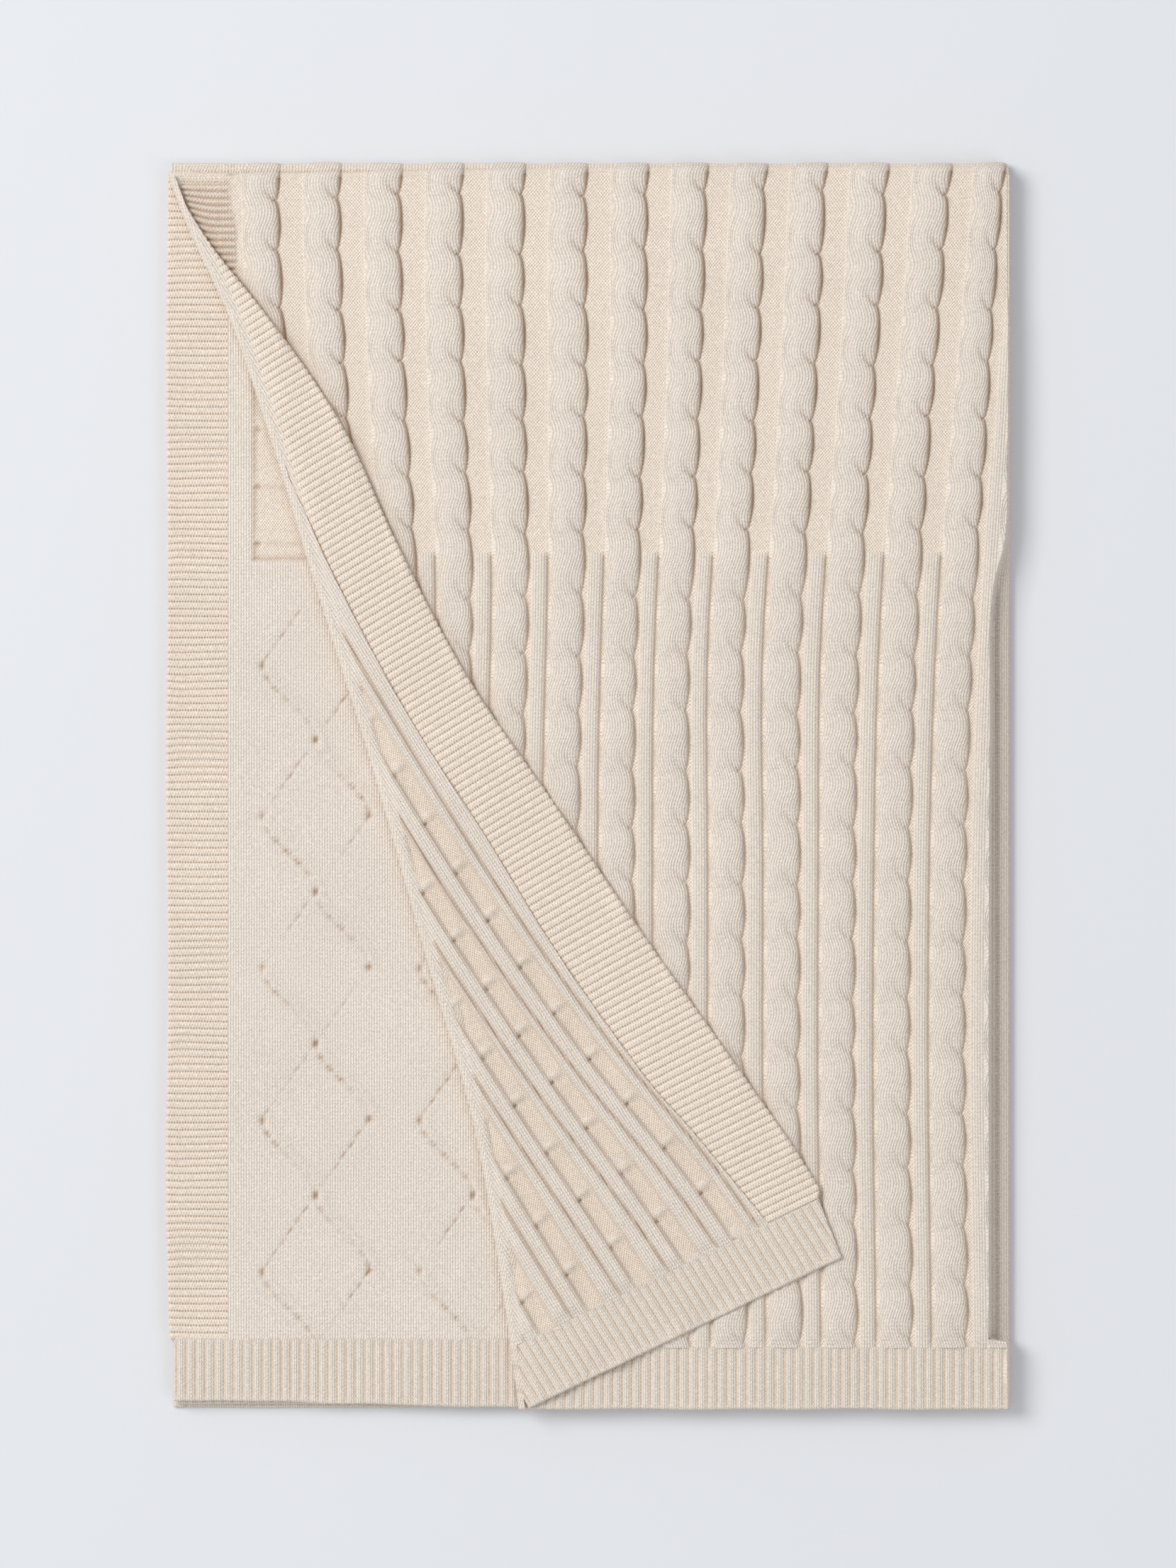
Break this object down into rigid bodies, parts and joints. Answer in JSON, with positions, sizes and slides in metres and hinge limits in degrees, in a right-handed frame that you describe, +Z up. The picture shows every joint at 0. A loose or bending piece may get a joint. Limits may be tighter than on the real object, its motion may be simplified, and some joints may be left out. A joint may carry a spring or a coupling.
{
  "type": "folded throw blanket",
  "caption": "Cream cable-knit throw blanket folded in quarters, with garter side bands, ribbed ends and one top corner leaf turned back.",
  "frame": {"origin": "middle of the folded pile's outline, on the plane it lies on", "axes": "+Z up from the plane it lies on, +Y towards the fold across the top, +X towards the long side fold"},
  "size_m": [0.647, 0.955, 0.0296],
  "materials": {
    "cream_knit": "matte, fuzzy knit",
    "shaded_knit": "matte, fuzzy knit"
  },
  "bodies": {
    "lower_leaf": {"lower_outer_panel": "shaded_knit", "lower_outer_side_band": "shaded_knit", "lower_outer_end_rib": "shaded_knit", "lower_inner_panel": "shaded_knit", "lower_inner_side_band": "shaded_knit", "lower_inner_end_rib": "shaded_knit", "lower_top_fold": "shaded_knit", "side_fold_outer": "cream_knit", "side_fold_inner": "shaded_knit"},
    "upper_leaf": {"upper_inner_panel": "cream_knit", "upper_inner_side_band": "cream_knit", "upper_inner_end_rib": "cream_knit", "upper_outer_panel": "cream_knit", "upper_outer_end_rib": "cream_knit", "upper_top_fold": "cream_knit", "corner_fold": "cream_knit"},
    "corner_flap": {"corner_panel": "cream_knit", "corner_side_band": "cream_knit", "corner_end_rib": "cream_knit"}
  },
  "joints": [
    {"name": "side_fold", "type": "hinge", "parent": "lower_leaf", "child": "upper_leaf", "pos_m": [0.3117, 0, 0.0118], "axis": [0, 1, 0], "range_deg": [0, 170], "deforming": ["side_fold_outer", "side_fold_inner"]},
    {"name": "corner_turn", "type": "hinge", "parent": "upper_leaf", "child": "corner_flap", "pos_m": [-0.1715, 0, 0.0238], "axis": [0.2719, -0.9623, 0], "range_deg": [0, 170], "deforming": ["corner_fold"]}
  ]
}
